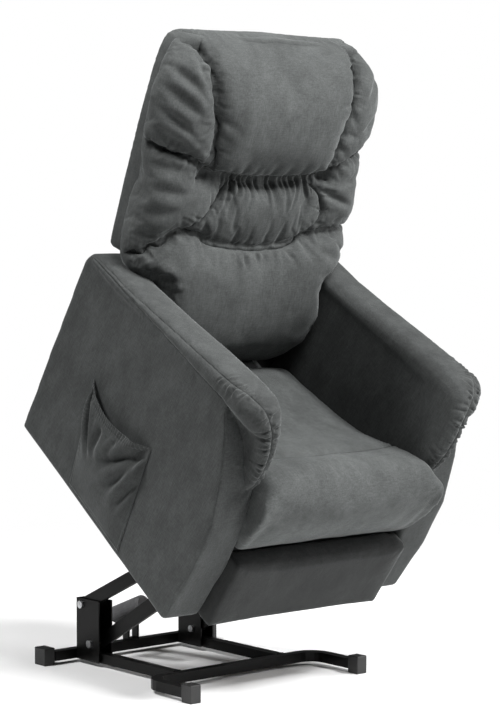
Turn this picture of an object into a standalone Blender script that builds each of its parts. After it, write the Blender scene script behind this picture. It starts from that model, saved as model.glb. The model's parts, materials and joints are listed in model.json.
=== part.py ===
"""Lift recliner armchair, modelled with the chair raised and tipped forward on its lift base.

Metres, +Z up, the sitter faces -Y. Pieces of the chair are drawn in the chair's own level
frame (y back, z up, origin midway along the bottom of the side panels), and one empty tips
them. Pieces of the lift base are drawn on the floor, centred on the base frame.
"""
import math

import bmesh
import bpy
from mathutils import Matrix, Vector
from mathutils.geometry import tessellate_polygon

# ---- driving dimensions ----
SHIFT = Vector((0.004, 0.1594, 0.0))    # puts the origin under the middle of the whole object
TILT = math.radians(36.4)              # forward tip of the raised chair
CHAIR_AT = Vector((0.0, -0.046, 0.419))  # chair frame's origin over the base when raised
GAP = 0.0003                           # between pieces that touch
PLATE = 0.004                          # steel plate thickness

TUBE = 0.025                           # base frame square tube
TUBE_Z = 0.0225                        # height of the tubes' centre line
RAIL_X = 0.169                         # side rails of the base
REAR_RAIL_Y = 0.285
FRONT_RAIL_Y = -0.1345
BOW_X = 0.270                          # front bow tube's legs
BOW_RADIUS = 0.050
FOOT_H = 0.045
FOOT_X = (0.254, 0.286)
FRONT_FOOT_Y = (-0.320, -0.284)
REAR_FOOT_Y = (0.274, 0.320)

CHEEK_IN, CHEEK_OUT = 0.146, 0.190     # lift bracket's inner and outer faces
CHEEK_Y = (0.172, 0.267)
CHEEK_Z = (0.011, 0.170)
PIN_A = (0.246, 0.154)                 # upper link on the bracket
PIN_D = (0.209, 0.056)                 # lower link on the bracket
PIN_E = (0.285, 0.100)                 # lift actuator on the base
PIN_B = (-0.154, 0.039)                # upper link on the chair, chair frame
PIN_C = (-0.210, 0.014)                # lower link on the chair, chair frame
PIN_R = 0.005
BORE_R = 0.0053
LINK_R = 0.0165                        # half the links' width
LINK_UP_X = (0.170, 0.184)
LINK_LOW_X = (0.152, 0.162)
OPEN_BORE_R = 0.0145                   # free play of the lower link's front eye
ROD_BORE_R = 0.0085                    # free play of the actuator rod's eye
LIFT_PLATE_X = (0.188, 0.192)
TORQUE_AT = 0.330                      # torque tube's place along the upper link
TORQUE_R = 0.015
EAR_DROP = math.radians(10.0)          # actuator pin below the upper link, seen from pin A

ARM_X = (0.2705, 0.380)
ARM_PROFILE = [(-0.352, 0.0), (0.352, 0.0), (0.387, 0.499), (0.375, 0.524), (-0.230, 0.559),
               (-0.274, 0.493), (-0.316, 0.411), (-0.355, 0.294), (-0.363, 0.161)]
ARM_PAD_X = (0.2680, 0.3860)
ARM_PAD_PROFILE = [(0.3740, 0.5250), (-0.2306, 0.5600), (-0.2748, 0.4936), (-0.3168, 0.4116),
                   (-0.3270, 0.3806), (-0.3350, 0.4000), (-0.3430, 0.4500), (-0.3400, 0.5000),
                   (-0.3250, 0.5500), (-0.3000, 0.5920), (-0.2750, 0.6100), (-0.2000, 0.6030),
                   (-0.0600, 0.5830), (0.0800, 0.5600), (0.2200, 0.5430), (0.3500, 0.5330)]
SEAT_X = 0.2645
SEAT_PROFILE = [(0.200, 0.240), (0.200, 0.294), (0.131, 0.312), (0.006, 0.333),
                (-0.078, 0.345), (-0.154, 0.364), (-0.223, 0.390), (-0.290, 0.416),
                (-0.345, 0.431), (-0.375, 0.418), (-0.395, 0.382), (-0.404, 0.347),
                (-0.396, 0.310), (-0.383, 0.262), (-0.367, 0.220), (-0.345, 0.206),
                (0.160, 0.206)]
DECK_Y = (-0.330, 0.160)
DECK_Z = (0.1957, 0.2050)
SEAT_RAIL_X = (0.187, 0.225)
SEAT_RAIL_Z = (0.165, 0.195)
SEAT_RAIL_Y = (-0.320, 0.340)
CROSS_RAIL_Y = ((-0.320, -0.290), (0.310, 0.340))
REAR_PANEL_Y = (0.350, 0.362)
REAR_PANEL_Z = (0.165, 0.235)

POCKET_X = (0.3803, 0.3940)            # on the sitter's right side panel
POCKET_PROFILE = [(-0.132, 0.006), (0.112, 0.008), (0.183, 0.293), (-0.084, 0.303)]
POCKET_WALL = 0.004
POCKET_HEM = 0.008

RECLINE = (0.285, 0.290)               # back's pivot, chair frame
BACK_FOOT = Vector((0.348, 0.330))     # foot of the back's rear face
BACK_UP = Vector((0.2763, 0.9611))     # the back leans 16 degrees
BACK_OUT = Vector((-0.9611, 0.2763))   # towards the sitter
SHELL_T = 0.0695
BACK_FACE = 0.0705                     # cushions start just in front of the shell
SHELL_OUTLINE = [(0.2545, -0.090), (0.2545, 0.200), (0.315, 0.203), (0.315, 0.660),
                 (0.300, 0.722), (0.270, 0.752)]
LUMBAR_PROFILE = [(-0.085, 0.0705), (-0.080, 0.080), (-0.056, 0.100), (0.0, 0.133),
                  (0.079, 0.154), (0.156, 0.161), (0.1990, 0.172), (0.1990, 0.0705)]
BACK_SECTIONS = [(0.203, 0.362, 0.168), (0.235, 0.366, 0.170), (0.310, 0.357, 0.165),
                 (0.400, 0.345, 0.156), (0.486, 0.345, 0.152)]
HEAD_X = 0.2395
HEAD_PROFILE = [(0.4895, 0.0705), (0.4895, 0.168), (0.540, 0.184), (0.617, 0.183),
                (0.662, 0.168), (0.700, 0.143), (0.732, 0.100), (0.750, 0.0705)]
WING_IN = 0.2405
WING_SECTIONS = [(0.4895, 0.343, 0.152), (0.565, 0.371, 0.156), (0.640, 0.364, 0.148),
                 (0.700, 0.338, 0.126), (0.742, 0.305, 0.096)]

ARM_PIN_G = (-0.190, 0.150)            # rear arm on the seat rail
ARM_PIN_J = (-0.090, 0.045)            # the two arms' elbow
ARM_PIN_H = (-0.330, 0.060)            # front arm on the footrest
FOOT_ARM_R = 0.011
FOOT_PIN_R = 0.004
FOOT_INNER_X = (0.2265, 0.2305)
FOOT_OUTER_X = (0.2320, 0.2360)
FOOTREST_X = 0.2660
FOOTREST_PAD = [(-0.3525, 0.004), (-0.3525, 0.192), (-0.368, 0.195), (-0.379, 0.185),
                (-0.388, 0.143), (-0.392, 0.096), (-0.388, 0.047), (-0.379, 0.008),
                (-0.368, 0.001)]
FOOTREST_BOARD_Y = (-0.3520, -0.3410)
FOOTREST_BOARD_Z = (0.010, 0.186)

MATERIALS = {                          # colour, roughness, metallic
    "upholstery": ((0.065, 0.070, 0.068), 0.90, 0.0),
    "wood": ((0.45, 0.32, 0.19), 0.70, 0.0),
    "black_steel": ((0.012, 0.012, 0.013), 0.45, 0.0),
    "zinc": ((0.60, 0.60, 0.58), 0.35, 1.0),
    "black_plastic": ((0.015, 0.015, 0.016), 0.60, 0.0),
    "motor_grey": ((0.22, 0.23, 0.24), 0.50, 0.0),
}


# ---- scene and object helpers ----
def clear_scene():
    for obj in list(bpy.data.objects):
        bpy.data.objects.remove(obj)


def get_material(name):
    mat = bpy.data.materials.get(name)
    if mat is None:
        colour, rough, metal = MATERIALS[name]
        mat = bpy.data.materials.new(name)
        mat.use_nodes = True
        shader = mat.node_tree.nodes["Principled BSDF"]
        shader.inputs["Base Color"].default_value = (*colour, 1.0)
        shader.inputs["Roughness"].default_value = rough
        shader.inputs["Metallic"].default_value = metal
    return mat


class Frame:
    """An empty on a pivot. Its pieces are drawn in the coordinates of its design space."""

    def __init__(self, name, pivot, parent=None, at=(0.0, 0.0, 0.0), tilt=0.0):
        self.pivot = Vector((0.0, *pivot))
        self.empty = bpy.data.objects.new(name, None)
        self.empty.empty_display_size = 0.05
        bpy.context.scene.collection.objects.link(self.empty)
        if parent is None:
            turn = Matrix.Rotation(tilt, 3, "X")
            self.empty.location = Vector(at) + turn @ self.pivot + SHIFT
            self.empty.rotation_euler = (tilt, 0.0, 0.0)
        else:
            self.empty.parent = parent.empty
            self.empty.location = self.pivot - parent.pivot

    def add(self, name, mesh, material, smooth=False, bevel=0.0):
        mesh.name = name
        mesh.transform(Matrix.Translation(-self.pivot))
        mesh.materials.clear()
        mesh.materials.append(get_material(material))
        if smooth:
            mesh.shade_smooth()
            mesh.set_sharp_from_angle(angle=math.radians(35.0))
        obj = bpy.data.objects.new(name, mesh)
        obj.parent = self.empty
        bpy.context.scene.collection.objects.link(obj)
        if bevel:
            mod = obj.modifiers.new("rounded", "BEVEL")
            mod.width = bevel
            mod.segments = 2
            mod.limit_method = "ANGLE"
            mod.angle_limit = math.radians(50.0)
        return obj


def to_mesh(bm):
    bmesh.ops.recalc_face_normals(bm, faces=bm.faces)
    mesh = bpy.data.meshes.new("shape")
    bm.to_mesh(mesh)
    bm.free()
    return mesh


def combine(first, second, operation):
    """The exact union or difference of two meshes, as a new mesh."""
    pair = []
    for mesh in (first, second):
        obj = bpy.data.objects.new("work", mesh)
        bpy.context.scene.collection.objects.link(obj)
        pair.append(obj)
    mod = pair[0].modifiers.new("cut", "BOOLEAN")
    mod.operation = operation
    mod.solver = "EXACT"
    mod.object = pair[1]
    graph = bpy.context.evaluated_depsgraph_get()
    result = bpy.data.meshes.new_from_object(pair[0].evaluated_get(graph))
    for obj in pair:
        bpy.data.objects.remove(obj)
    return result


def union(*meshes):
    result = meshes[0]
    for mesh in meshes[1:]:
        result = combine(result, mesh, "UNION")
    return result


def cut(mesh, *cutters):
    for cutter in cutters:
        mesh = combine(mesh, cutter, "DIFFERENCE")
    return mesh


# ---- shape helpers ----
def span(side, pair):
    """A pair of distances from the middle plane, as an x range on one side."""
    return sorted((side * pair[0], side * pair[1]))


def circle(centre, radius, count=20, start=0.0, turn=2.0 * math.pi):
    steps = count if abs(turn) > 6.28 else count + 1
    return [(centre[0] + radius * math.cos(start + turn * i / count),
             centre[1] + radius * math.sin(start + turn * i / count)) for i in range(steps)]


def prism(outline, x_range, holes=()):
    """A (y, z) outline, with round or other holes, extruded along X."""
    loops = [list(outline)] + [list(hole) for hole in holes]
    flat = [Vector((y, z, 0.0)) for loop in loops for y, z in loop]
    triangles = tessellate_polygon([[Vector((y, z, 0.0)) for y, z in loop] for loop in loops])
    bm = bmesh.new()
    sides = [[bm.verts.new((x, p.x, p.y)) for p in flat] for x in x_range]
    for verts in sides:
        for a, b, c in triangles:
            bm.faces.new((verts[a], verts[b], verts[c]))
    start = 0
    for loop in loops:
        count = len(loop)
        for i in range(count):
            a, b = start + i, start + (i + 1) % count
            bm.faces.new((sides[0][a], sides[0][b], sides[1][b], sides[1][a]))
        start += count
    return to_mesh(bm)


def box(x_range, y_range, z_range):
    (y0, y1), (z0, z1) = y_range, z_range
    return prism([(y0, z0), (y1, z0), (y1, z1), (y0, z1)], x_range)


def loft(sections):
    """Closed loops of 3-D points with equal counts, joined in order and capped."""
    bm = bmesh.new()
    rings = [[bm.verts.new(p) for p in section] for section in sections]
    for low, high in zip(rings, rings[1:]):
        for i in range(len(low)):
            j = (i + 1) % len(low)
            bm.faces.new((low[i], low[j], high[j], high[i]))
    bm.faces.new(rings[0])
    bm.faces.new(reversed(rings[-1]))
    return to_mesh(bm)


def turned(profile, centre, count=20):
    """A turned solid on an X axis through centre, from (x, radius) pairs; radius 0 is a tip."""
    bm = bmesh.new()
    rings = []
    for x, radius in profile:
        if radius == 0.0:
            rings.append([bm.verts.new((x, *centre))])
        else:
            rings.append([bm.verts.new((x, y, z)) for y, z in circle(centre, radius, count)])
    for low, high in zip(rings, rings[1:]):
        for i in range(count):
            j = (i + 1) % count
            ring = [low[i % len(low)], low[j % len(low)], high[j % len(high)], high[i % len(high)]]
            bm.faces.new(dict.fromkeys(ring))
    return to_mesh(bm)


def turned_along(profile, start, direction, x=0.0, count=24):
    """A turned solid whose axis runs from start in the (y, z) direction, at one x."""
    mesh = turned(profile, (0.0, 0.0), count)
    along = Vector((0.0, *direction)).normalized()
    side = Vector((1.0, 0.0, 0.0))
    up = along.cross(side)
    basis = Matrix((along, side, up)).transposed().to_4x4()
    mesh.transform(Matrix.Translation((x, *start)) @ basis)
    if basis.determinant() < 0.0:
        mesh.flip_normals()
    return mesh


def bar(p, q, radius, x_range, end_radius=None, holes=(BORE_R, BORE_R), count=10):
    """A flat bar with round ends between two (y, z) points, with a hole at each."""
    p, q = Vector(p), Vector(q)
    heading = math.atan2(q.y - p.y, q.x - p.x)
    far = end_radius or radius
    near_end = circle(p, radius, count, heading + math.pi / 2.0, math.pi)
    far_end = circle(q, far, count, heading - math.pi / 2.0, math.pi)
    bores = [circle(c, r) for c, r in ((p, holes[0]), (q, holes[1])) if r]
    return prism(near_end + far_end, x_range, bores)


def swept_square(path, size):
    """A square tube along a level path of (x, y) points, mitred at each point."""
    sections = []
    for i, point in enumerate(path):
        here = Vector(point)
        before = (here - Vector(path[i - 1])).normalized() if i else None
        after = (Vector(path[i + 1]) - here).normalized() if i + 1 < len(path) else None
        along = ((before or after) + (after or before)).normalized()
        normal = Vector((-along.y, along.x))
        reach = size / 2.0 / (normal.dot(Vector((-(after or before).y, (after or before).x))))
        a, b = here + normal * reach, here - normal * reach
        low, high = TUBE_Z - size / 2.0, TUBE_Z + size / 2.0
        sections.append([(a.x, a.y, low), (b.x, b.y, low), (b.x, b.y, high), (a.x, a.y, high)])
    return loft(sections)


def tip(point):
    """A (y, z) point of the chair's level frame, where the raised chair holds it."""
    y, z = point
    return (CHAIR_AT.y + y * math.cos(TILT) - z * math.sin(TILT),
            CHAIR_AT.z + y * math.sin(TILT) + z * math.cos(TILT))


def on_back(v, w):
    """Chair-frame (y, z) of a point v up the back and w in front of its rear face."""
    p = BACK_FOOT + BACK_UP * v + BACK_OUT * w
    return (p.x, p.y)


def pin_mesh(side, centre, stops, radius=PIN_R, head=0.010, nut=0.009):
    """A headed pin: stops are nut end, nut face, head face and head end, from the middle."""
    a, b, c, d = (side * stop for stop in stops)
    return turned([(a, 0.0), (a, nut), (b, nut), (b, radius), (c, radius), (c, head),
                   (d, head), (d, 0.0)], centre)


# ---- base ----
def base_frame(base):
    leg = [(BOW_X, FRONT_FOOT_Y[1] + GAP), (BOW_X, FRONT_RAIL_Y - BOW_RADIUS)]
    bend = circle((BOW_X - BOW_RADIUS, FRONT_RAIL_Y - BOW_RADIUS), BOW_RADIUS, 5, 0.0, math.pi / 2)
    right = leg + bend[1:]
    path = right + [(-x, y) for x, y in reversed(right)]
    base.add("base_front_bow", swept_square(path, TUBE), "black_steel")
    rear_x = FOOT_X[0] - GAP
    rear = swept_square([(-rear_x, REAR_RAIL_Y), (rear_x, REAR_RAIL_Y)], TUBE)
    base.add("base_rear_rail", union(rear, actuator_clevis()), "black_steel")
    stops = (-0.024, -0.018 - GAP, 0.018 + GAP, 0.024)
    base.add("actuator_rear_pin", pin_mesh(1, PIN_E, stops), "zinc", smooth=True)
    ends = (FRONT_RAIL_Y + TUBE / 2 + GAP, REAR_RAIL_Y - TUBE / 2 - GAP)
    for side, tag in ((-1, "r"), (1, "l")):
        rail = swept_square([(side * RAIL_X, ends[0]), (side * RAIL_X, ends[1])], TUBE)
        base.add("base_side_rail_" + tag, rail, "black_steel")
        for end, y_range in (("front", FRONT_FOOT_Y), ("rear", REAR_FOOT_Y)):
            foot = box(span(side, FOOT_X), y_range, (0.0, FOOT_H))
            base.add("foot_%s_%s" % (end, tag), foot, "black_plastic", bevel=0.002)


def lift_bracket(base, side, tag):
    """A channel standing astride the side rail, open to the front, with its two pins."""
    whole = box(span(side, (CHEEK_IN, CHEEK_OUT)), CHEEK_Y, CHEEK_Z)
    inside = box(span(side, (CHEEK_IN + PLATE, CHEEK_OUT - PLATE)),
                 (CHEEK_Y[0] - 0.01, CHEEK_Y[1] - 0.0035), (0.0, 0.2))
    rail_slot = box(span(side, (CHEEK_IN + PLATE, CHEEK_OUT - PLATE)),
                    (CHEEK_Y[0], CHEEK_Y[1] + 0.01), (0.0, TUBE_Z + TUBE / 2 + GAP))
    bores = [turned([(side * 0.13, 0.0), (side * 0.13, BORE_R), (side * 0.2, BORE_R),
                     (side * 0.2, 0.0)], centre) for centre in (PIN_A, PIN_D)]
    base.add("lift_bracket_" + tag, cut(whole, inside, rail_slot, *bores), "black_steel")
    stops = (CHEEK_IN - 0.006, CHEEK_IN - GAP, CHEEK_OUT + GAP, CHEEK_OUT + 0.006)
    base.add("pin_upper_rear_" + tag, pin_mesh(side, PIN_A, stops), "zinc", smooth=True)
    base.add("pin_lower_rear_" + tag, pin_mesh(side, PIN_D, stops), "zinc", smooth=True)


def actuator_clevis():
    """The U of plate welded on the rear rail for the actuator's rear eye."""
    y0, y1 = PIN_E[0] - 0.0118, PIN_E[0] + 0.0118
    top = TUBE_Z + TUBE / 2
    outline = [(y0, top - 0.002), (y1, top - 0.002)] + circle(PIN_E, 0.0118, 10, 0.0, math.pi)
    whole = prism(outline, (-0.018, 0.018))
    slot = box((-0.0125, 0.0125), (y0 - 0.01, y1 + 0.01), (top + PLATE, 0.2))
    bore = turned([(-0.03, 0.0), (-0.03, BORE_R), (0.03, BORE_R), (0.03, 0.0)], PIN_E)
    return cut(whole, slot, bore)


# ---- lift linkage ----
def ear_point(angle_offset):
    """A point at the torque tube's distance from pin A, below the upper link by an angle."""
    b = tip(PIN_B)
    heading = math.atan2(b[1] - PIN_A[1], b[0] - PIN_A[0]) + angle_offset
    return (PIN_A[0] + TORQUE_AT * math.cos(heading), PIN_A[1] + TORQUE_AT * math.sin(heading))


def upper_links(frame):
    for side, tag in ((-1, "r"), (1, "l")):
        link = bar(PIN_A, tip(PIN_B), LINK_R, span(side, LINK_UP_X))
        frame.add("upper_link_" + tag, link, "black_steel")
    centre, pin = ear_point(0.0), ear_point(EAR_DROP)
    end = LINK_UP_X[0] - GAP
    tube = turned([(-end, 0.0), (-end, TORQUE_R), (end, TORQUE_R), (end, 0.0)], centre)
    ears = [bar(centre, pin, 0.020, x_range, 0.011, (0.0, BORE_R))
            for x_range in ((-0.018, -0.014), (0.014, 0.018))]
    frame.add("torque_tube", union(tube, *ears), "black_steel")
    stops = (-0.023, -0.018 - GAP, 0.018 + GAP, 0.023)
    frame.add("actuator_front_pin", pin_mesh(1, pin, stops), "zinc", smooth=True)


def lower_links(frame):
    far = tip(PIN_C)
    for side, tag in ((-1, "r"), (1, "l")):
        link = bar(PIN_D, far, LINK_R, span(side, LINK_LOW_X), 0.0225, (BORE_R, OPEN_BORE_R))
        frame.add("lower_link_" + tag, link, "black_steel")
    along = 0.75
    centre = tuple(p + (q - p) * along for p, q in zip(PIN_D, far))
    end = LINK_LOW_X[0] - GAP
    tube = turned([(-end, 0.0), (-end, 0.0125), (end, 0.0125), (end, 0.0)], centre)
    frame.add("lower_cross_tube", tube, "black_steel", smooth=True)


def actuator(housing, rod):
    """Gearbox with a rear eye, spindle tube, side motor, and the rod that slides in the tube."""
    start, pin = Vector(PIN_E), Vector(ear_point(EAR_DROP))
    way = (pin - start).normalized()
    eye = bar(start, start + way * 0.035, 0.011, (-0.0120, 0.0120), 0.018, (BORE_R, 0.0))
    head = turned_along([(0.028, 0.0), (0.028, 0.021), (0.062, 0.021), (0.062, 0.0)], start, way)
    neck = turned_along([(0.036, 0.0), (0.036, 0.015), (0.054, 0.015), (0.054, 0.0)], start, way,
                        x=-0.030)
    housing.add("actuator_gearbox", union(eye, head, neck), "black_plastic")
    tube = turned_along([(0.0623, 0.0), (0.0623, 0.019), (0.235, 0.019), (0.235, 0.0085),
                         (0.110, 0.0085), (0.110, 0.0)], start, way)
    housing.add("actuator_tube", tube, "motor_grey", smooth=True)
    motor = turned_along([(0.030, 0.0), (0.030, 0.022), (0.034, 0.024), (0.150, 0.024),
                          (0.156, 0.018), (0.156, 0.0)], start, way, x=-0.0695)
    housing.add("actuator_motor", motor, "motor_grey", smooth=True)
    reach = (pin - start).length
    shaft = turned_along([(0.160, 0.0), (0.160, 0.008), (reach - 0.006, 0.008),
                          (reach - 0.006, 0.0)], start, way)
    end_eye = turned([(-0.0130, 0.0), (-0.0130, 0.0130), (0.0130, 0.0130), (0.0130, 0.0)], pin)
    bore = turned([(-0.03, 0.0), (-0.03, ROD_BORE_R), (0.03, ROD_BORE_R), (0.03, 0.0)], pin)
    rod.add("actuator_rod", cut(union(shaft, end_eye), bore), "zinc")


# ---- chair body ----
def seat_frame(chair):
    """Two box rails with the side plates that carry the lift pins, and two cross rails."""
    for side, tag in ((-1, "r"), (1, "l")):
        rail = box(span(side, SEAT_RAIL_X), SEAT_RAIL_Y, SEAT_RAIL_Z)
        outline = [(-0.050, 0.170), (-0.262, 0.170), (-0.262, 0.060), (-0.228, 0.010)]
        outline += [(-0.210, 0.001), (-0.190, 0.001), (-0.132, 0.022)]
        holes = [circle(PIN_B, BORE_R), circle(PIN_C, BORE_R)]
        plate = prism(outline, span(side, LIFT_PLATE_X), holes)
        y, z = ARM_PIN_G
        lug = [(y - 0.012, 0.175), (y - 0.012, z)]
        lug += circle(ARM_PIN_G, 0.012, 8, math.pi, math.pi)[1:] + [(y + 0.012, 0.175)]
        lug_x = span(side, (SEAT_RAIL_X[1] - PLATE - 0.0005, SEAT_RAIL_X[1] - 0.0005))
        hinge = prism(lug, lug_x, [circle(ARM_PIN_G, FOOT_PIN_R + GAP, 12)])
        chair.add("seat_rail_" + tag, union(rail, plate, hinge), "black_steel")
    inner = SEAT_RAIL_X[0] - GAP
    for tag, y_range in zip(("front", "rear"), CROSS_RAIL_Y):
        chair.add("cross_rail_" + tag, box((-inner, inner), y_range, SEAT_RAIL_Z), "black_steel")


def lift_pins(chair):
    for side, tag in ((-1, "r"), (1, "l")):
        plate_out = LIFT_PLATE_X[1] + GAP
        stops = (LINK_UP_X[0] - 0.005, LINK_UP_X[0] - GAP, plate_out, plate_out + 0.006)
        chair.add("pin_upper_front_" + tag, pin_mesh(side, PIN_B, stops), "zinc", smooth=True)
        low, high = LINK_LOW_X[0] - GAP, LINK_LOW_X[1] + GAP
        stack = [(low - 0.006, 0.0), (low - 0.006, 0.009), (low - 0.002, 0.009),
                 (low - 0.002, 0.0215), (low, 0.0215), (low, PIN_R), (high, PIN_R),
                 (high, 0.0215), (high + 0.004, 0.0215), (high + 0.004, 0.009),
                 (LIFT_PLATE_X[0] - GAP, 0.009), (LIFT_PLATE_X[0] - GAP, PIN_R),
                 (plate_out, PIN_R), (plate_out, 0.010), (plate_out + 0.006, 0.010),
                 (plate_out + 0.006, 0.0)]
        mesh = turned([(side * x, r) for x, r in stack], PIN_C)
        chair.add("pin_lower_front_" + tag, mesh, "zinc", smooth=True)


def arms(chair):
    for side, tag in ((-1, "r"), (1, "l")):
        panel = prism(ARM_PROFILE, span(side, ARM_X))
        chair.add("arm_box_" + tag, panel, "upholstery", bevel=0.006)
        pad = prism(ARM_PAD_PROFILE, span(side, ARM_PAD_X))
        chair.add("arm_pad_" + tag, pad, "upholstery", bevel=0.008)
        inner = ARM_X[0] - GAP
        outline = [(0.265, DECK_Z[1] + GAP), (0.318, DECK_Z[1] + GAP), (0.310, 0.306),
                   (0.300, 0.315), (0.270, 0.315), (0.262, 0.306)]
        plate = prism(outline, span(side, (inner - PLATE, inner)), [circle(RECLINE, BORE_R)])
        chair.add("hinge_plate_" + tag, plate, "black_steel")


def seat(chair):
    inner = ARM_X[0] - GAP
    chair.add("deck_board", box((-inner, inner), DECK_Y, DECK_Z), "wood")
    chair.add("seat_cushion", prism(SEAT_PROFILE, (-SEAT_X, SEAT_X)), "upholstery", bevel=0.010)
    chair.add("rear_panel", box((-inner, inner), REAR_PANEL_Y, REAR_PANEL_Z), "upholstery")


def side_pocket(chair):
    """A flat pouch on the sitter's right, open at the top and against the side panel."""
    x0, x1 = -POCKET_X[1], -POCKET_X[0]
    whole = prism(POCKET_PROFILE, (x0, x1))
    (ya, za), (yb, zb), (yc, zc), (yd, zd) = POCKET_PROFILE
    hem = POCKET_HEM
    room = [(ya + hem, za + hem), (yb - hem, zb + hem), (yc - hem + 0.02, zc + 0.06),
            (yd + hem + 0.02, zd + 0.06)]
    chair.add("side_pocket", cut(whole, prism(room, (x0 + POCKET_WALL, 0.0))), "upholstery")


# ---- back ----
def back_section(v, half_widths, front):
    """A cushion section across the back at height v, from inner to outer half widths."""
    inner, outer = half_widths
    rim = [(outer - 0.010, BACK_FACE), (outer, 0.095), (outer - 0.012, front - 0.020),
           (outer - 0.050, front)]
    if inner is None:
        rim = rim + [(-x, w) for x, w in reversed(rim)]
    else:
        rim = rim + [(inner, front), (inner, BACK_FACE)]
    return [(x, *on_back(v, w)) for x, w in rim]


def mirrored(section, side):
    return [(side * x, y, z) for x, y, z in section]


def backrest(back):
    outline = SHELL_OUTLINE + [(-x, v) for x, v in reversed(SHELL_OUTLINE)]
    shell = loft([[(x, *on_back(v, w)) for x, v in outline] for w in (0.0, SHELL_T)])
    back.add("back_shell", shell, "upholstery", bevel=0.010)
    lumbar = prism([on_back(v, w) for v, w in LUMBAR_PROFILE], (-SHELL_OUTLINE[0][0],
                                                                SHELL_OUTLINE[0][0]))
    back.add("lumbar_cushion", lumbar, "upholstery", bevel=0.010)
    middle = loft([back_section(v, (None, h), front) for v, h, front in BACK_SECTIONS])
    back.add("back_cushion", middle, "upholstery")
    head = prism([on_back(v, w) for v, w in HEAD_PROFILE], (-HEAD_X, HEAD_X))
    back.add("head_cushion", head, "upholstery", bevel=0.010)
    for side, tag in ((-1, "r"), (1, "l")):
        wing = loft([mirrored(back_section(v, (WING_IN, h), front), side)
                     for v, h, front in WING_SECTIONS])
        back.add("wing_" + tag, wing, "upholstery")
        back_bracket(back, side, tag)


def back_bracket(back, side, tag):
    """A plate on the back's side with the pivot stub that turns in the hinge plate."""
    inner = SHELL_OUTLINE[0][0] + GAP
    top = [on_back(0.14, 0.055), on_back(0.14, 0.015)]
    low = [on_back(-0.055, 0.010), on_back(-0.075, 0.030), on_back(-0.050, 0.070)]
    plate = prism(top + low, span(side, (inner, inner + PLATE)))
    stub = turned([(side * (inner + 0.001), 0.0), (side * (inner + 0.001), PIN_R),
                   (side * (ARM_X[0] - 2 * GAP), PIN_R), (side * (ARM_X[0] - 2 * GAP), 0.0)],
                  RECLINE)
    back.add("back_bracket_" + tag, union(plate, stub), "black_steel")


# ---- footrest ----
def stub(side, centre, x_range):
    a, b = (side * x for x in x_range)
    return turned([(a, 0.0), (a, FOOT_PIN_R), (b, FOOT_PIN_R), (b, 0.0)], centre, 16)


def footrest(rear_arm, front_arm, panel):
    hole = FOOT_PIN_R + GAP
    for side, tag in ((-1, "r"), (1, "l")):
        plate = bar(ARM_PIN_G, ARM_PIN_J, FOOT_ARM_R, span(side, FOOT_INNER_X), None, (0.0, hole))
        pin = stub(side, ARM_PIN_G, (0.217, FOOT_INNER_X[0] + 0.001))
        rear_arm.add("foot_arm_rear_" + tag, union(plate, pin), "black_steel")
        plate = bar(ARM_PIN_J, ARM_PIN_H, FOOT_ARM_R, span(side, FOOT_OUTER_X), None, (0.0, 0.0))
        pins = [stub(side, c, (FOOT_INNER_X[0] - 0.001, FOOT_OUTER_X[0] + 0.001))
                for c in (ARM_PIN_J, ARM_PIN_H)]
        front_arm.add("foot_arm_front_" + tag, union(plate, *pins), "black_steel")
    centre = (ARM_PIN_H[0] + 0.028, ARM_PIN_H[1])
    end = FOOT_OUTER_X[0] - GAP
    tube = turned([(-end, 0.0), (-end, 0.008), (end, 0.008), (end, 0.0)], centre)
    front_arm.add("foot_cross_tube", tube, "black_steel", smooth=True)
    footrest_panel(panel, hole)


def footrest_panel(panel, hole):
    board = box((-FOOTREST_X + 0.004, FOOTREST_X - 0.004), FOOTREST_BOARD_Y, FOOTREST_BOARD_Z)
    panel.add("footrest_board", board, "wood")
    pad = prism(FOOTREST_PAD, (-FOOTREST_X, FOOTREST_X))
    panel.add("footrest_pad", pad, "upholstery", bevel=0.006)
    face = FOOTREST_BOARD_Y[1] + GAP
    parts = [box((-0.2310, 0.2310), (face, face + 0.003), (0.0480, 0.0720))]
    for side in (-1, 1):
        lug = [(face + 0.001, ARM_PIN_H[1] + 0.0105), (face + 0.001, ARM_PIN_H[1] - 0.0105)]
        lug += circle(ARM_PIN_H, 0.0105, 8, -math.pi / 2, math.pi)
        parts.append(prism(lug, span(side, FOOT_INNER_X), [circle(ARM_PIN_H, hole, 12)]))
    panel.add("footrest_bracket", union(*parts), "black_steel")


def build():
    clear_scene()
    base = Frame("base", (0.0, 0.0))
    base_frame(base)
    for side, tag in ((-1, "r"), (1, "l")):
        lift_bracket(base, side, tag)
    upper_links(Frame("upper_link_axis", PIN_A))
    lower_links(Frame("lower_link_axis", PIN_D))
    actuator(Frame("actuator_axis", PIN_E), Frame("rod_axis", ear_point(EAR_DROP)))
    chair = Frame("chair_axis", PIN_B, at=CHAIR_AT, tilt=TILT)
    seat_frame(chair)
    lift_pins(chair)
    arms(chair)
    seat(chair)
    side_pocket(chair)
    backrest(Frame("recline_axis", RECLINE, chair))
    rear_arm = Frame("foot_rear_axis", ARM_PIN_G, chair)
    front_arm = Frame("foot_elbow_axis", ARM_PIN_J, chair)
    footrest(rear_arm, front_arm, Frame("footrest_axis", ARM_PIN_H, chair))


build()
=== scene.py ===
"""Looks of the lift recliner armchair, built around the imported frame."""
import json
import math

import bmesh
import bpy
import numpy as np
from mathutils import Matrix, Vector
from mathutils.bvhtree import BVHTree
from mathutils.kdtree import KDTree


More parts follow.
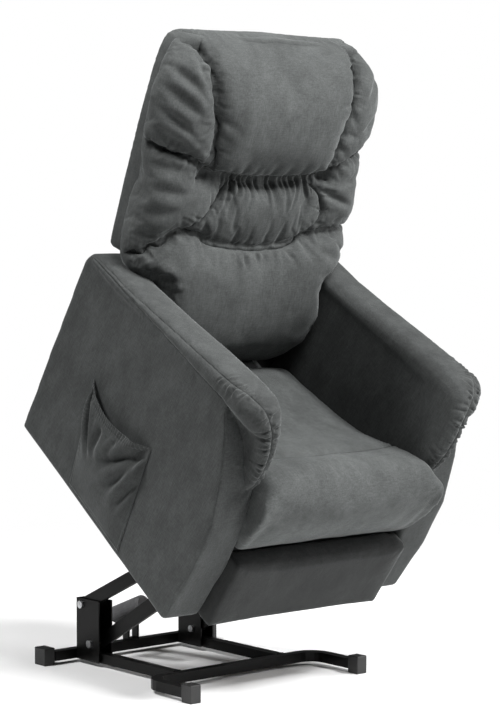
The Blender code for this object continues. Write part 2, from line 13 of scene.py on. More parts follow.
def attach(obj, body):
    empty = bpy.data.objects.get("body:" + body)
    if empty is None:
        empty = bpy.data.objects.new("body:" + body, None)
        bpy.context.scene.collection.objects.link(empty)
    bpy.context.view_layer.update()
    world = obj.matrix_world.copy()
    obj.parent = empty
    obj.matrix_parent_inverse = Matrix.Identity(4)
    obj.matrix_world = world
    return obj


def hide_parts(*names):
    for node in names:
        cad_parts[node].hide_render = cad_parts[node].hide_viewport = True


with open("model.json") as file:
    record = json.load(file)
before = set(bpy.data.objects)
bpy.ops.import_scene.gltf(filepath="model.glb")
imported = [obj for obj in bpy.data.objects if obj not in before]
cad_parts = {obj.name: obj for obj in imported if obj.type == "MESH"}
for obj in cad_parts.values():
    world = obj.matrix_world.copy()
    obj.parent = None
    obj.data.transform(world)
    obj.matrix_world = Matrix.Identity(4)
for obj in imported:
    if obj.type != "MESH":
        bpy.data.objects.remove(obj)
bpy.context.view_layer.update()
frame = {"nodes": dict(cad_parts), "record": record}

# The chair's own level frame: x across, y back, z up from the bottom of the side panels.
# All profiles, seams and outlines below are in it, in metres.
TILT = math.radians(36.4)
CHAIR = Matrix.Translation((.004, .1134, .419)) @ Matrix.Rotation(TILT, 4, "X")
LEAN_UP = np.array([.2763, .9611])  # up the back, in (y, z)
LEAN_OUT = np.array([-.9611, .2763])  # towards the sitter
BACK_FOOT = np.array([.348, .33])  # foot of the back's rear face


def on_back(x, v, w):
    """Chair-frame points x across, v up the back and w in front of its rear face."""
    x, v, w = np.broadcast_arrays(*(np.asarray(a, float) for a in (x, v, w)))
    yz = BACK_FOOT + v[..., None] * LEAN_UP + w[..., None] * LEAN_OUT
    return np.concatenate([x[..., None], yz], -1)


# ---- mesh helpers ----
def new_object(name, verts, faces, material=None, chair=True):
    mesh = bpy.data.meshes.new(name)
    mesh.from_pydata(np.asarray(verts, float).tolist(), [], [list(f) for f in faces])
    mesh.shade_smooth()
    obj = bpy.data.objects.new(name, mesh)
    bpy.context.scene.collection.objects.link(obj)
    if chair:
        obj.matrix_world = CHAIR
    if material:
        mesh.materials.append(material)
    return obj


def coords(mesh):
    co = np.zeros(len(mesh.vertices) * 3)
    mesh.vertices.foreach_get("co", co)
    return co.reshape(-1, 3)


def set_coords(mesh, co):
    mesh.vertices.foreach_set("co", np.asarray(co, float).ravel())
    mesh.update()


def normals(mesh):
    no = np.zeros(len(mesh.vertices) * 3)
    mesh.vertices.foreach_get("normal", no)
    return no.reshape(-1, 3)


def edges_of(mesh):
    e = np.zeros(len(mesh.edges) * 2, int)
    mesh.edges.foreach_get("vertices", e)
    return e.reshape(-1, 2)


def swap_mesh(obj, mesh):
    old = obj.data
    if not len(mesh.materials):
        for m in old.materials:
            mesh.materials.append(m)
    name = old.name
    obj.data = mesh
    bpy.data.meshes.remove(old)
    mesh.name = name
    mesh.shade_smooth()


def settle(obj, body, fill, *nodes):
    """Puts a finished piece's mesh in the row frame, and says what it rides on and stands for."""
    obj.data.transform(CHAIR)
    obj.matrix_world = Matrix.Identity(4)
    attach(obj, body)
    if nodes:
        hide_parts(*nodes)


def with_modifier(obj, kind, **settings):
    """Applies one modifier and leaves a plain mesh."""
    mod = obj.modifiers.new("m", kind)
    for key, value in settings.items():
        setattr(mod, key, value)
    mesh = bpy.data.meshes.new_from_object(obj.evaluated_get(bpy.context.evaluated_depsgraph_get()))
    obj.modifiers.clear()
    swap_mesh(obj, mesh)
    return obj


def remesh(obj, voxel):
    return with_modifier(obj, "REMESH", mode="VOXEL", voxel_size=voxel, use_smooth_shade=True)


def subdivide(obj):
    return with_modifier(obj, "SUBSURF", levels=1, render_levels=1)


def relax(mesh, rounds, amount=.5, weight=None):
    """Laplacian smoothing in place, weighted per point."""
    e = edges_of(mesh)
    co = coords(mesh)
    n = len(co)
    count = np.maximum(np.bincount(e.ravel(), minlength=n), 1).astype(float)
    w = amount if weight is None else amount * weight[:, None]
    for _ in range(rounds):
        acc = np.stack([np.bincount(e[:, 0], co[e[:, 1], k], n) + np.bincount(e[:, 1], co[e[:, 0], k], n)
                        for k in range(3)], -1)
        co = co + w * (acc / count[:, None] - co)
    set_coords(mesh, co)


def smoothstep(t):
    t = np.clip(t, 0.0, 1.0)
    return t * t * (3 - 2 * t)


def spline(points, count):
    """Evenly spaced samples of a Catmull-Rom curve through points."""
    p = np.asarray(points, float)
    p = np.vstack([2 * p[0] - p[1], p, 2 * p[-1] - p[-2]])
    fine = []
    for i in range(1, len(p) - 2):
        t = np.linspace(0, 1, 24, endpoint=False)[:, None]
        a, b, c, d = p[i - 1:i + 3]
        fine.append(.5 * ((2 * b) + (c - a) * t + (2 * a - 5 * b + 4 * c - d) * t ** 2
                           + (3 * b - a - 3 * c + d) * t ** 3))
    fine = np.vstack(fine + [p[-2][None]])
    s = np.concatenate([[0], np.cumsum(np.linalg.norm(np.diff(fine, axis=0), axis=1))])
    at = np.linspace(0, s[-1], count)
    return np.stack([np.interp(at, s, fine[:, k]) for k in range(p.shape[1])], -1)


def noise3(p, seed, scale):
    """Smooth 3-D value noise between -1 and 1."""
    table = np.random.default_rng(seed).uniform(-1, 1, 65536)
    q = np.asarray(p) / scale + 500.0
    i = np.floor(q).astype(np.int64)
    f = smoothstep(q - i)
    total = 0.0
    for dx in (0, 1):
        for dy in (0, 1):
            for dz in (0, 1):
                h = (i[..., 0] + dx) * 73856093
                h = h ^ ((i[..., 1] + dy) * 19349663) ^ ((i[..., 2] + dz) * 83492791)
                w = (f[..., 0] if dx else 1 - f[..., 0]) * (f[..., 1] if dy else 1 - f[..., 1]) \
                    * (f[..., 2] if dz else 1 - f[..., 2])
                total = total + w * table[h & 65535]
    return total


def loft(name, rings, material=None, chair=True):
    """A closed skin over closed rings of points, capped at both ends."""
    rings = np.asarray(rings, float)
    m, n = rings.shape[:2]
    faces = [(i * n + j, i * n + (j + 1) % n, (i + 1) * n + (j + 1) % n, (i + 1) * n + j)
             for i in range(m - 1) for j in range(n)]
    faces += [tuple(range(n))[::-1], tuple(range((m - 1) * n, m * n))]
    obj = new_object(name, rings.reshape(-1, 3), faces, material, chair)
    bm = bmesh.new()
    bm.from_mesh(obj.data)
    bmesh.ops.recalc_face_normals(bm, faces=bm.faces)
    bm.to_mesh(obj.data)
    bm.free()
    return obj


def inward(profile):
    """Inward offset of one unit for each corner of a closed (y, z) outline."""
    p = np.asarray(profile, float)
    a = p - np.roll(p, 1, axis=0)
    b = np.roll(p, -1, axis=0) - p
    area = .5 * np.sum(p[:, 0] * np.roll(p[:, 1], -1) - np.roll(p[:, 0], -1) * p[:, 1])
    turn = 1.0 if area > 0 else -1.0
    na = np.stack([-a[:, 1], a[:, 0]], -1) / np.linalg.norm(a, axis=1)[:, None] * turn
    nb = np.stack([-b[:, 1], b[:, 0]], -1) / np.linalg.norm(b, axis=1)[:, None] * turn
    mid = na + nb
    mid /= np.linalg.norm(mid, axis=1)[:, None]
    return mid / np.maximum((mid * na).sum(1), .55)[:, None]


def rounded_prism(name, profile, x0, x1, r0, r1, material=None, mirror=1):
    """The (y, z) profile run from x0 to x1, its edges rounded by r0 and r1."""
    p = np.asarray(profile, float)
    step = inward(p)
    stations = []
    for a in np.linspace(0, math.pi / 2, 7):
        stations.append((x0 + r0 * (1 - math.cos(a)), r0 * (1 - math.sin(a))))
    for a in np.linspace(math.pi / 2, 0, 7):
        stations.append((x1 - r1 * (1 - math.cos(a)), r1 * (1 - math.sin(a))))
    rings = []
    for x, inset in stations:
        q = p + step * inset
        rings.append(np.column_stack([np.full(len(q), x * mirror), q]))
    return loft(name, rings, material)


def dense(profile, spacing=.012):
    """The same closed outline with points at most spacing apart."""
    out = []
    p = np.asarray(profile, float)
    for a, b in zip(p, np.roll(p, -1, axis=0)):
        n = max(1, int(np.linalg.norm(b - a) / spacing))
        for i in range(n):
            out.append(a + (b - a) * i / n)
    return np.array(out)


def joined(objs, name):
    """One object from several in the same frame."""
    verts, faces, start = [], [], 0
    for o in objs:
        co = coords(o.data)
        verts.append(co)
        faces += [tuple(i + start for i in f.vertices) for f in o.data.polygons]
        start += len(co)
    material = objs[0].data.materials[0] if len(objs[0].data.materials) else None
    for o in objs:
        mesh = o.data
        bpy.data.objects.remove(o)
        bpy.data.meshes.remove(mesh)
    return new_object(name, np.vstack(verts), faces, material)


# ---- sewing ----
def surface(mesh):
    """A search tree over the mesh's faces."""
    return BVHTree.FromPolygons([v.co for v in mesh.vertices], [tuple(f.vertices) for f in mesh.polygons])


class Seam:
    """A line in space, with the distance and place along it of nearby points."""

    def __init__(self, points, step=.002):
        length = np.linalg.norm(np.diff(np.asarray(points, float), axis=0), axis=1).sum()
        self.settle(spline(points, max(8, int(length / step))))

    def settle(self, p):
        self.p = p
        seg = np.linalg.norm(np.diff(p, axis=0), axis=1)
        self.s = np.concatenate([[0], np.cumsum(seg)])
        self.length = self.s[-1]
        self.t = np.gradient(p, axis=0)
        self.t /= np.linalg.norm(self.t, axis=1)[:, None] + 1e-12
        self.tree = KDTree(len(p))
        for i, q in enumerate(p):
            self.tree.insert(q, i)
        self.tree.balance()

    def drop_onto(self, tree):
        """Moves the line to the nearest place on a mesh, given by its surface tree."""
        q = np.array([tree.find_nearest(Vector(p))[0] for p in self.p])
        for _ in range(60):
            q[1:-1] = (q[:-2] + 2 * q[1:-1] + q[2:]) / 4
        self.settle(q)
        return self

    def near(self, co, reach):
        """Points within reach: their index, distance, place along and offset from the line."""
        lo, hi = self.p.min(0) - reach, self.p.max(0) + reach
        idx, dist, along, off = [], [], [], []
        for k in np.nonzero(((co > lo) & (co < hi)).all(1))[0]:
            _, i, d = self.tree.find(co[k])
            if d < reach:
                v = co[k] - self.p[i]
                a = max(-.002, min(.002, float(v @ self.t[i])))
                v = v - self.t[i] * a
                idx.append(k)
                dist.append(math.sqrt(float(v @ v)))
                along.append(self.s[i] + a)
                off.append(v)
        return np.array(idx, int), np.array(dist), np.array(along), np.array(off).reshape(-1, 3)

    def side(self, no, along, off):
        """+1 or -1: the side of the line that each point lies on."""
        i = np.clip(np.searchsorted(self.s, along), 0, len(self.s) - 1)
        return np.where((np.cross(self.t[i], no) * off).sum(1) >= 0, 1.0, -1.0)


def sew(mesh, seam, depth, reach, line=.0012, line_depth=.0015, open_ends=False):
    """Pulls the cloth down along a seam: a rounded valley with a fine sewn line at its bottom."""
    co, no = coords(mesh), normals(mesh)
    idx, d, along, off = seam.near(co, reach)
    if not len(idx):
        return
    ends = 1.0 if open_ends else smoothstep(along / .02) * smoothstep((seam.length - along) / .02)
    t = np.clip(1 - d / reach, 0, 1)
    fall = 1 - np.sqrt(np.clip(1 - t ** 2, 0, 1))
    drop = depth * fall * (.35 + .65 * ends) + line_depth * np.exp(-(d / line) ** 2)
    co[idx] -= no[idx] * drop[:, None]
    set_coords(mesh, co)


def pucker(mesh, seam, seed, every=.022, depth=.003, width=.005, reach=.05, sides=(1, -1),
           lean=.5, part=(0.0, 1.0)):
    """Short gathered creases that run off a seam on one or both sides."""
    rng = np.random.default_rng(seed)
    co, no = coords(mesh), normals(mesh)
    idx, d, along, off = seam.near(co, reach)
    if not len(idx):
        return
    side = seam.side(no[idx], along, off)
    total = np.zeros(len(idx))
    for sgn in sides:
        m = side == sgn
        s = seam.length * part[0] + rng.uniform(0, every)
        while s < seam.length * part[1]:
            amp, sig = depth * rng.uniform(.35, 1.0), width * rng.uniform(.6, 1.5)
            length = reach * rng.uniform(.25, .8)
            slant, bend = rng.uniform(-lean, lean), rng.uniform(-4, 4)
            q = along[m] - s - slant * d[m] - bend * d[m] ** 2
            ridge = .55 * (np.exp(-((q - 2.0 * sig) / (1.2 * sig)) ** 2)
                            + np.exp(-((q + 2.0 * sig) / (1.2 * sig)) ** 2))
            total[m] += amp * (ridge - np.exp(-(q / sig) ** 2)) * np.exp(-(d[m] / length) ** 2) \
                * smoothstep((d[m] - .001) / .012)
            s += every * rng.uniform(.5, 1.6)
    co[idx] += no[idx] * total[:, None]
    set_coords(mesh, co)


FOLD_BULGE = .6  # height of a fold's raised sides, over its depth


def crease(mesh, tree, points, depth, width):
    """One free fold in the cloth, deepest in its middle."""
    seam = Seam(points, .004).drop_onto(tree)
    co, no = coords(mesh), normals(mesh)
    idx, d, along, off = seam.near(co, width * 4)
    if not len(idx):
        return
    u = np.clip(along / seam.length, 0, 1)
    env = smoothstep(u / .45) * smoothstep((1 - u) / .45)
    w = width * (.55 + .45 * env)
    h = -np.exp(-(d / w) ** 2) + FOLD_BULGE * np.exp(-((d - 2.1 * w) / (1.2 * w)) ** 2)
    co[idx] += no[idx] * (depth * env * h)[:, None]
    set_coords(mesh, co)


def ripple(mesh, seed, amount, scale, stretch=(1, 1, 1)):
    """Soft unevenness of stuffed cloth."""
    co, no = coords(mesh), normals(mesh)
    q = co * np.array(stretch)
    co += no * (amount * (noise3(q, seed, scale) + .5 * noise3(q, seed + 1, scale / 2.1)))[:, None]
    set_coords(mesh, co)


def refine(obj, seams, reach):
    """Splits the faces near the seams so that a sewn line has points of its own."""
    bm = bmesh.new()
    bm.from_mesh(obj.data)
    co = coords(obj.data)
    hot = np.zeros(len(co), bool)
    for seam in seams:
        hot[seam.near(co, reach)[0]] = True
    bm.verts.ensure_lookup_table()
    edges = {e for f in bm.faces if any(hot[v.index] for v in f.verts) for e in f.edges}
    bmesh.ops.subdivide_edges(bm, edges=list(edges), cuts=1, use_grid_fill=True)
    bmesh.ops.triangulate(bm, faces=[f for f in bm.faces if len(f.verts) > 4])
    bm.to_mesh(obj.data)
    bm.free()
    obj.data.shade_smooth()


CLOTH_FRAMES = 20
CLOTH_STIFFNESS = 15
CLOTH_BENDING = .5


def swell(jobs):
    """Runs pressurised cloth on every job at once and moves its mesh, each point capped."""
    scene = bpy.context.scene
    scene.frame_start, scene.frame_end = 1, CLOTH_FRAMES
    rest = []
    for job in jobs:
        obj, pins = job["obj"], np.round(job["pins"], 1)
        rest.append(coords(obj.data))
        group = obj.vertex_groups.new(name="pin")
        for level in np.unique(pins[pins > 0]):
            group.add(np.nonzero(pins == level)[0].tolist(), float(level), "REPLACE")
        mod = obj.modifiers.new("cloth", "CLOTH")
        cs = mod.settings
        cs.quality = 6
        cs.mass = .3
        cs.tension_stiffness = cs.compression_stiffness = CLOTH_STIFFNESS
        cs.shear_stiffness = CLOTH_STIFFNESS / 3
        cs.bending_stiffness = CLOTH_BENDING
        cs.use_pressure = True
        cs.uniform_pressure_force = job["pressure"]
        cs.shrink_min = -job["grow"]
        cs.vertex_group_mass = "pin"
        cs.pin_stiffness = 1.0
        cs.effector_weights.gravity = 0.0
        mod.point_cache.frame_start, mod.point_cache.frame_end = 1, CLOTH_FRAMES
    for f in range(1, CLOTH_FRAMES + 1):
        scene.frame_set(f)
    graph = bpy.context.evaluated_depsgraph_get()
    for job, base in zip(jobs, rest):
        obj = job["obj"]
        shown = obj.evaluated_get(graph)
        moved = coords(shown.to_mesh()) - base
        shown.to_mesh_clear()
        obj.modifiers.clear()
        obj.vertex_groups.clear()
        length = np.linalg.norm(moved, axis=1)
        cap = job["cap"]
        scale = cap * np.tanh(length / cap) / np.maximum(length, 1e-9)
        set_coords(obj.data, base + moved * scale[:, None])
    scene.frame_set(1)


# ---- materials ----
def material(name, rough, metallic=0.0, sheen=0.0, spec=.5):
    mat = bpy.data.materials.new(name)
    mat.use_nodes = True
    shader = mat.node_tree.nodes["Principled BSDF"]
    shader.inputs["Roughness"].default_value = rough
    shader.inputs["Metallic"].default_value = metallic
    shader.inputs["Specular IOR Level"].default_value = spec
    if sheen:
        shader.inputs["Sheen Weight"].default_value = sheen
        shader.inputs["Sheen Roughness"].default_value = .35
        shader.inputs["Sheen Tint"].default_value = (.86, .9, .9, 1)
    return mat, mat.node_tree.nodes, mat.node_tree.links, shader


def noise(nodes, links, vector, scale, detail=2.0, rough=.5):
    n = nodes.new("ShaderNodeTexNoise")
    n.inputs["Scale"].default_value = scale
    n.inputs["Detail"].default_value = detail
    n.inputs["Roughness"].default_value = rough
    links.new(vector, n.inputs["Vector"])
    return n.outputs["Fac"]


def mapped(nodes, links, scale=(1, 1, 1), turn=0.0):
    """Object coordinates turned about X, then scaled along the turned axes."""
    tex = nodes.new("ShaderNodeTexCoord")
    vector = tex.outputs["Object"]
    for rotation, size in (((turn, 0, 0), (1, 1, 1)), ((0, 0, 0), scale)):
        m = nodes.new("ShaderNodeMapping")
        m.inputs["Scale"].default_value = size
        m.inputs["Rotation"].default_value = rotation
        links.new(vector, m.inputs["Vector"])
        vector = m.outputs["Vector"]
    return vector


def ramp(nodes, links, value, low, high, lo=.35, hi=.65):
    """Colours from low to high as value goes from lo to hi."""
    r = nodes.new("ShaderNodeMapRange")
    r.inputs["From Min"].default_value = lo
    r.inputs["From Max"].default_value = hi
    links.new(value, r.inputs["Value"])
    mix = nodes.new("ShaderNodeMix")
    mix.data_type = "RGBA"
    mix.inputs["A"].default_value = (*low, 1)
    mix.inputs["B"].default_value = (*high, 1)
    links.new(r.outputs["Result"], mix.inputs["Factor"])
    return mix.outputs["Result"]


def times(nodes, links, a, value, lo, hi, vlo=.35, vhi=.65):
    """Colour a darkened or lightened from lo to hi by value."""
    r = nodes.new("ShaderNodeMapRange")
    for key, v in zip(("From Min", "From Max", "To Min", "To Max"), (vlo, vhi, lo, hi)):
        r.inputs[key].default_value = v
    links.new(value, r.inputs["Value"])
    m = nodes.new("ShaderNodeMix")
    m.data_type = "RGBA"
    m.blend_type = "MULTIPLY"
    m.inputs["Factor"].default_value = 1.0
    links.new(a, m.inputs["A"])
    links.new(r.outputs["Result"], m.inputs["B"])
    return m.outputs["Result"]


def bump(nodes, links, height, strength, distance, below=None):
    b = nodes.new("ShaderNodeBump")
    b.inputs["Strength"].default_value = strength
    b.inputs["Distance"].default_value = distance
    links.new(height, b.inputs["Height"])
    if below:
        links.new(below, b.inputs["Normal"])
    return b.outputs["Normal"]


FABRIC_DARK = (.034, .0362, .0357)
FABRIC_LIGHT = (.052, .0552, .0544)


def fabric(name, grain=0.0, gain=1.0):
    """Brushed microfibre: streaky slub along one direction, mottled nap and a fine grain."""
    mat, nodes, links, shader = material(name, .86, sheen=.22, spec=.25)
    slub = noise(nodes, links, mapped(nodes, links, (1, 1, .14), grain), 330, 3, .62)
    cross = noise(nodes, links, mapped(nodes, links, (.16, .16, 1), grain), 420, 2)
    fine = noise(nodes, links, mapped(nodes, links), 1100, 2)
    nap = noise(nodes, links, mapped(nodes, links, (1, 1, .55), grain), 19, 4, .6)
    patch = noise(nodes, links, mapped(nodes, links, (1, 1, .7), grain), 5, 2)
    # gain scales the cloth's whole colour; the lighter back and seat copies and the darker footrest copy
    # use it as painted light and painted shade.
    colour = ramp(nodes, links, nap, tuple(c * gain for c in FABRIC_DARK),
                  tuple(c * gain for c in FABRIC_LIGHT), .3, .7)
    colour = times(nodes, links, colour, slub, .86, 1.15)
    colour = times(nodes, links, colour, cross, .9, 1.1)
    colour = times(nodes, links, colour, fine, .8, 1.22)
    colour = times(nodes, links, colour, patch, .93, 1.07)
    links.new(colour, shader.inputs["Base Color"])
    low = bump(nodes, links, nap, .25, .004)
    mid = bump(nodes, links, slub, .45, .0008, low)
    links.new(bump(nodes, links, fine, .5, .0005, mid), shader.inputs["Normal"])
    return mat


UPRIGHT = fabric("fabric_upright", -TILT)
# Painted light: the back's copy of the same cloth has its colour raised by 1.28 to stand in for the light
# on it; its grain is turned with the back.
BACK_CLOTH_PAINTED_LIGHT = fabric("fabric_back_painted_light", -TILT + math.radians(16), 1.28)
# Painted light: the seat's copy of the same cloth has its colour raised by 1.36 to stand in for the light
# on it; its grain runs along the seat.
SEAT_CLOTH_PAINTED_LIGHT = fabric("fabric_seat_painted_light", math.radians(90) - TILT, 1.36)
CAMBRIC = fabric("black_lining", -TILT, .16)
# Painted shade: the footrest's copy of the same cloth has its colour cut to .38 to stand in for the shade
# under the seat's front roll.
FOOTREST_CLOTH_PAINTED_SHADE = fabric("fabric_footrest_painted_shade", -TILT, .38)


# ---- camera, light and floor ----
CAMERA_LENS = 113.08  # in mm, on a sensor 36 mm wide
CAMERA_AT = (-3.622, -4.2936, 1.169)
CAMERA_BACK = (-.6474, -.7592, .0669)  # away from what it looks at


def build_camera():
    cam = bpy.data.cameras.new("camera")
    cam.lens, cam.sensor_width, cam.sensor_fit = CAMERA_LENS, 36.0, "AUTO"
    obj = bpy.data.objects.new("camera", cam)
    bpy.context.scene.collection.objects.link(obj)
    back = Vector(CAMERA_BACK).normalized()
    right = Vector((0, 0, 1)).cross(back).normalized()
    view = Matrix((right, back.cross(right), back)).transposed().to_4x4()
    view.translation = CAMERA_AT
    obj.matrix_world = view
    bpy.context.scene.camera = obj


WORLD_LIGHT = .075  # the white surround's light on the object
LAMP_DISTANCE = 5.0
LAMP_TARGET = Vector((0, 0, .8))
LAMPS = [  # name, azimuth and elevation in degrees, size, power
    ("key", 30, 42, (1.0, 1.0), 238),
    ("key_low", 62, 12, (1.8, 1.8), 160),
    ("front", -8, 52, (1.8, 1.8), 245),
    ("fill", -112, 50, (1.2, 1.2), 225)]


def area_light(name, azimuth, elevation, size, power):
    light = bpy.data.lights.new(name, "AREA")
    light.shape, light.size, light.size_y = "RECTANGLE", size[0], size[1]
    light.energy = power
    obj = bpy.data.objects.new(name, light)
    bpy.context.scene.collection.objects.link(obj)
    a, e = math.radians(azimuth), math.radians(elevation)
    way = Vector((math.sin(a) * math.cos(e), -math.cos(a) * math.cos(e), math.sin(e)))
    obj.location = LAMP_TARGET + way * LAMP_DISTANCE
    obj.rotation_euler = way.to_track_quat("Z", "Y").to_euler()


def build_world():
    """White behind everything, and only a weak even light from it on the object."""
    world = bpy.data.worlds.new("studio")
    world.use_nodes = True
    nodes, links = world.node_tree.nodes, world.node_tree.links
    seen = nodes["Background"]
    lit = nodes.new("ShaderNodeBackground")
    for node, strength in ((seen, 1.0), (lit, WORLD_LIGHT)):
        node.inputs["Color"].default_value = (1, 1, 1, 1)
        node.inputs["Strength"].default_value = strength
    path, mix = nodes.new("ShaderNodeLightPath"), nodes.new("ShaderNodeMixShader")
    links.new(path.outputs["Is Camera Ray"], mix.inputs[0])
    links.new(lit.outputs[0], mix.inputs[1])
    links.new(seen.outputs[0], mix.inputs[2])
    links.new(mix.outputs[0], nodes["World Output"].inputs["Surface"])
    bpy.context.scene.world = world
    bpy.context.scene.view_settings.view_transform = "Standard"


FLOOR_RADIUS = 6.0


def build_floor():
    """A pale disc that fades out into the white around it."""
    n, r = 96, FLOOR_RADIUS
    ring = [(r * math.cos(2 * math.pi * i / n), r * math.sin(2 * math.pi * i / n), 0) for i in range(n)]
    mat, nodes, links, shader = material("floor_white", .9, spec=.1)
    grain = noise(nodes, links, mapped(nodes, links), 3.0)
    white = ramp(nodes, links, grain, (.93, .93, .93), (.95, .95, .95))
    links.new(white, shader.inputs["Base Color"])
    far = nodes.new("ShaderNodeVectorMath")
    far.operation = "LENGTH"
    links.new(mapped(nodes, links), far.inputs[0])
    fade = nodes.new("ShaderNodeMapRange")
    fade.interpolation_type = "SMOOTHSTEP"
    for key, v in zip(("From Min", "From Max", "To Min", "To Max"), (.9, 3.0, 1.0, 0.0)):
        fade.inputs[key].default_value = v
    links.new(far.outputs["Value"], fade.inputs["Value"])
    links.new(fade.outputs["Result"], shader.inputs["Alpha"])
    floor = new_object("floor", ring, [range(n)], mat, chair=False)


def build_lights():
    for lamp in LAMPS:
        area_light(*lamp)


# ---- arms ----
# Profiles are (y, z); a seam's points are (x, y, z) on the left arm.
ARM_PROFILE = [(-.35, .002), (.35, .002), (.385, .499), (.374, .524), (-.23, .559),
               (-.272, .493), (-.314, .411), (-.353, .294), (-.361, .161)]
COLUMN_EDGE = [(-.238, .54), (-.272, .493), (-.314, .411), (-.338, .34), (-.353, .29), (-.359, .225),
               (-.361, .16), (-.357, .08), (-.351, .006)]
PAD_REAR = [(.374, .527), (-.2, .559)]  # along the side panel's upper edge
PAD_TOP = [(-.2, .6085), (-.06, .588), (.08, .565), (.22, .547), (.35, .537)]
NOSE_INNER = [(-.327, .3806), (-.338, .399), (-.346, .45), (-.344, .5), (-.331, .552),
              (-.305, .593), (-.27, .612)]
NOSE_MIDDLE = [(-.248, .532), (-.285, .529), (-.313, .537), (-.325, .555), (-.319, .578),
               (-.3, .598), (-.268, .612)]
NOSE_OUTER = [(-.232, .56), (-.254, .557), (-.276, .563), (-.287, .578), (-.284, .594),
              (-.27, .606), (-.245, .611)]
LOWER_SEAM = [(.384, .374, .527), (.384, .22, .536), (.384, .08, .544), (.384, -.06, .5525),
              (.384, -.21, .56), (.378, -.238, .552), (.36, -.25, .536), (.338, -.258, .52),
              (.32, -.285, .47), (.31, -.31, .42), (.296, -.328, .38)]
UPPER_SEAM = [(.384, .374, .534), (.384, .3, .554), (.383, .15, .572), (.383, .0, .588),
              (.381, -.12, .601), (.374, -.21, .609), (.352, -.272, .61), (.327, -.306, .59),
              (.307, -.331, .552), (.297, -.344, .5), (.292, -.346, .45), (.29, -.34, .41),
              (.29, -.331, .386)]


def pad_ring(x, x0, x1, r0, r1):
    """The arm pad's outline at x: a nose that hangs low at the inner side and shrinks outwards."""
    u = (x - x0) / (x1 - x0)
    inner, middle, outer = (np.array(n) for n in (NOSE_INNER, NOSE_MIDDLE, NOSE_OUTER))
    nose = inner + (middle - inner) * smoothstep((u - .3) / .24)
    nose = nose + (outer - middle) * smoothstep((u - .54) / .46)
    hidden = nose[0] + [.03, .004]
    p = np.vstack([PAD_REAR, [hidden], nose, PAD_TOP])
    soft = np.array([0, 0, 0, .2, .6] + [1 - .45 * u] * 5 + [1] * 4 + [.8])
    inset = 0.0
    if x - x0 < r0:
        inset = r0 * (1 - math.sqrt(1 - (1 - (x - x0) / r0) ** 2))
    if x1 - x < r1:
        inset = r1 * (1 - math.sqrt(1 - (1 - (x1 - x) / r1) ** 2))
    out = p + inward(p) * soft[:, None] * inset
    top = smoothstep((out[:, 1] - .53) / .05)
    out[:, 1] += .004 * top * math.sin(math.pi * u)
    return out


def build_pad(mirror):
    x0, x1, r0, r1 = .2675, .3858, .03, .024
    a = np.linspace(0, math.pi / 2, 8)
    xs = np.concatenate([x0 + r0 * (1 - np.cos(a)), np.linspace(x0 + r0, x1 - r1, 16)[1:-1],
                         (x1 - r1 * (1 - np.cos(a)))[::-1]])
    rings = []
    for x in xs:
        ring = pad_ring(x, x0, x1, r0, r1)
        rings.append(np.column_stack([np.full(len(ring), x * mirror), ring]))
    return loft("pad", rings)


def build_arm(side, name):
    """An upholstered side panel and its pad in one skin, with the two boxing seams and their gathers."""
    sgn, odd = (1, 0) if side == "l" else (-1, 1)
    body = rounded_prism("a", dense(ARM_PROFILE), .2705, .3795, .008, .007, mirror=sgn, material=UPRIGHT)
    pad = build_pad(sgn)
    arm = remesh(joined([body, pad], name), .0065)
    mesh = arm.data
    relax(mesh, 2)
    tree = surface(mesh)
    lower = Seam([(x * sgn, y, z) for x, y, z in LOWER_SEAM]).drop_onto(tree)
    upper = Seam([(x * sgn, y, z) for x, y, z in UPPER_SEAM]).drop_onto(tree)
    edge = Seam([(.379 * sgn, y, z) for y, z in COLUMN_EDGE]).drop_onto(tree)
    nose = Seam([(.327 * sgn, -.24, .585), (.327 * sgn, -.3, .57), (.327 * sgn, -.32, .5),
                 (.325 * sgn, -.325, .44), (.322 * sgn, -.325, .39)])
    refine(arm, [lower, upper, edge], .014)
    refine(arm, [nose], .085)
    sew(mesh, lower, .006, .016, line_depth=.0015)
    sew(mesh, upper, .0035, .016, line_depth=.0012)
    sew(mesh, edge, .0022, .012, line_depth=.0012)
    refine(arm, [lower, upper], .006)
    pucker(mesh, upper, 11 + odd, every=.015, depth=.0062, width=.0038, reach=.042,
           lean=.35, part=(.6, .97))
    pucker(mesh, upper, 21 + odd, every=.03, depth=.0012, width=.004, reach=.02,
           lean=.6, part=(.1, .62))
    pucker(mesh, lower, 31 + odd, every=.035, depth=.0012, width=.005, reach=.03, lean=.6,
           part=(.05, .95))
    ripple(mesh, 41 + odd, .0009, .11)
    settle(arm, "chair", .8, "arm_box_" + side, "arm_pad_" + side)


